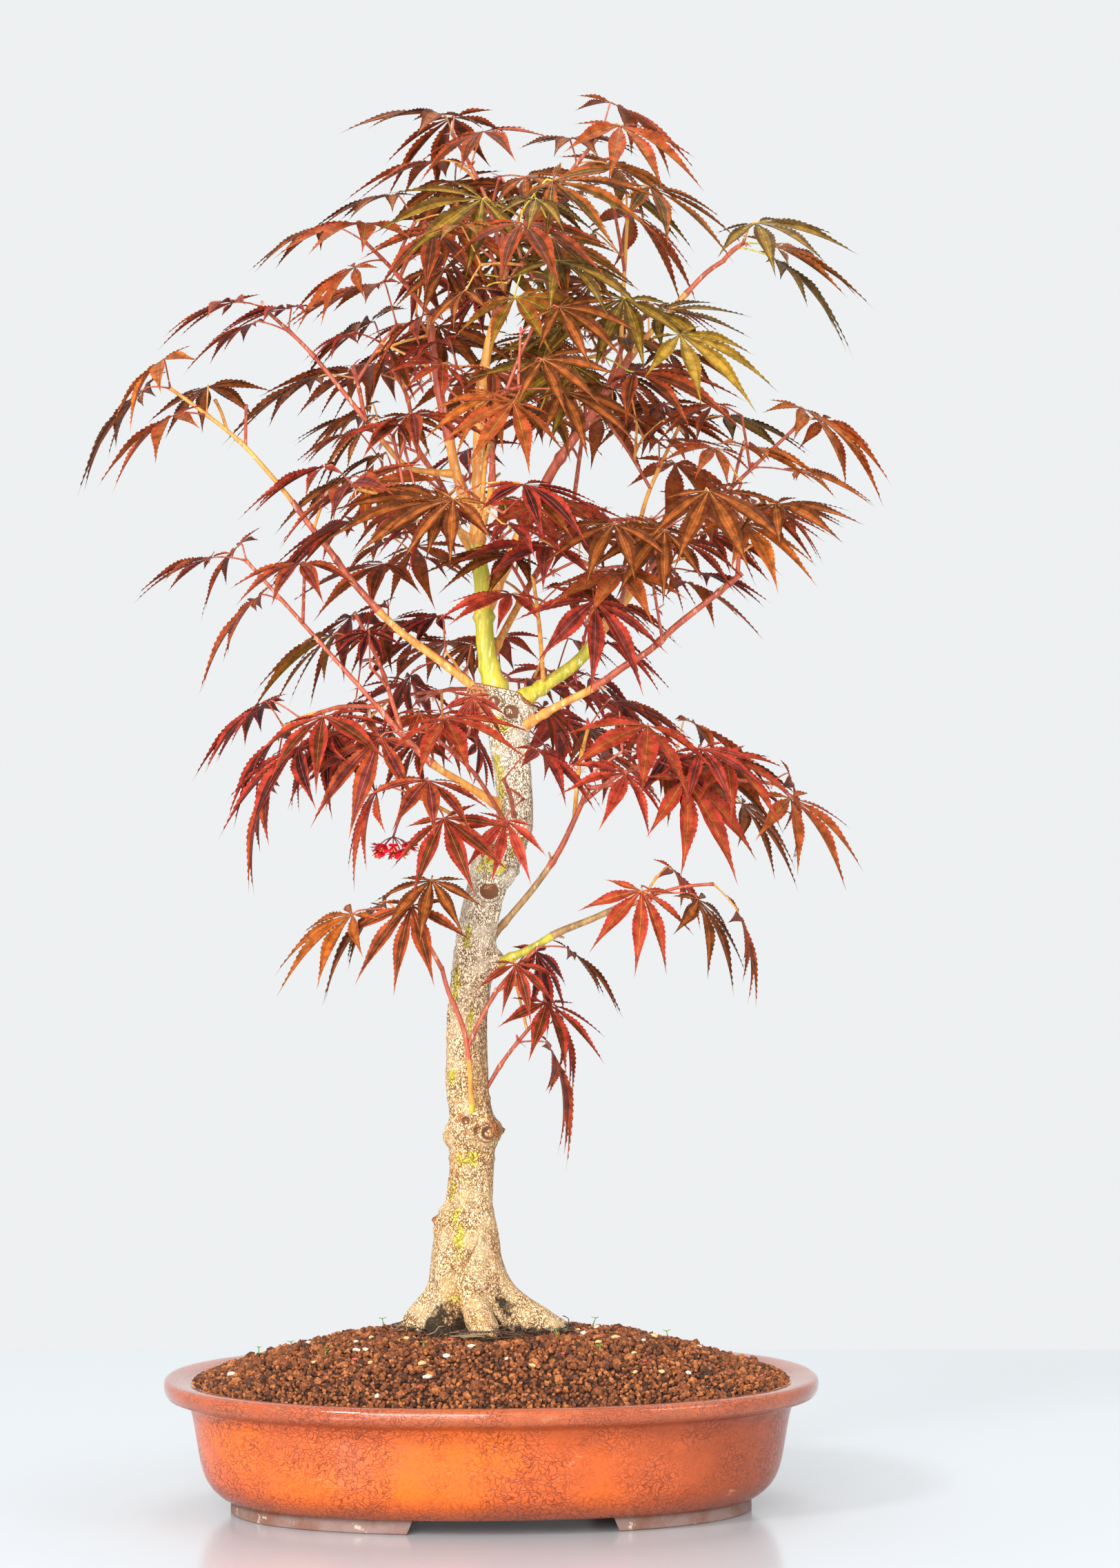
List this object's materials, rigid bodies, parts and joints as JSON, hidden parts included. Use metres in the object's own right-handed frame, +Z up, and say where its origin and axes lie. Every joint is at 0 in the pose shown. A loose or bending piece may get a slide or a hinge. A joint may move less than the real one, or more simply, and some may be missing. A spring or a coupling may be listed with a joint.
{
  "type": "japanese maple bonsai in an oval pot",
  "caption": "Potted miniature maple tree with a leaning trunk, spreading boughs and red-brown palmate leaves, in a shallow oval glazed pot on two feet.",
  "frame": {"origin": "on the floor under the middle of the pot, which is within a few millimetres of the middle of the whole object's box", "axes": "+Z up, +X along the pot's long side to the viewer's right, +Y away from the front"},
  "size_m": [0.5024, 0.3497, 0.87],
  "materials": {
    "glazed_pot": "orange-brown crackled gloss glaze, unglazed feet",
    "soil": "damp red-brown baked-clay granules",
    "bark": "pale tan stippled bark with lime-green patches",
    "young_bark": "smooth yellow-green to pink young bark",
    "foliage": "thin red-bronze leaves, satin"
  },
  "bodies": {
    "root": {"bough_back_left": "young_bark", "bough_back_low": "young_bark", "bough_back_right": "young_bark", "bough_front": "young_bark", "bough_left_low": "young_bark", "bough_left_mid": "young_bark", "bough_left_upper": "young_bark", "bough_low_left": "young_bark", "bough_right_low": "young_bark", "bough_right_main": "young_bark", "bough_right_outer": "young_bark", "bough_right_steep": "young_bark", "bough_right_top": "young_bark", "bough_right_upper": "young_bark", "bough_top_left": "young_bark", "leader": "young_bark", "leaves_back_left": "foliage", "leaves_back_left_upper": "foliage", "leaves_back_low_left": "foliage", "leaves_back_low_right": "foliage", "leaves_back_right": "foliage", "leaves_back_right_upper": "foliage", "leaves_centre": "foliage", "leaves_centre_right_front": "foliage", "leaves_centre_twig": "foliage", "leaves_front_centre": "foliage", "leaves_left_centre": "foliage", "leaves_left_far": "foliage", "leaves_left_front_low": "foliage", "leaves_left_front_upper": "foliage", "leaves_left_inner": "foliage", "leaves_left_low": "foliage", "leaves_left_mid_back": "foliage", "leaves_left_mid_inner": "foliage", "leaves_left_mid_outer": "foliage", "leaves_left_top": "foliage", "leaves_low_left": "foliage", "leaves_low_right": "foliage", "leaves_low_right_upper": "foliage", "leaves_mid_right_back": "foliage", "leaves_right_low": "foliage", "leaves_right_low_inner": "foliage", "leaves_right_low_outer": "foliage", "leaves_right_mid": "foliage", "leaves_right_mid_inner": "foliage", "leaves_right_outer": "foliage", "leaves_right_top": "foliage", "leaves_right_upper": "foliage", "leaves_top_left": "foliage", "leaves_top_right": "foliage", "leaves_trunk_front": "foliage", "leaves_upper_back": "foliage", "leaves_upper_front": "foliage", "leaves_upper_left": "foliage", "leaves_upper_right": "foliage", "pot": "glazed_pot", "soil": "soil", "trunk": "bark"}
  },
  "joints": []
}
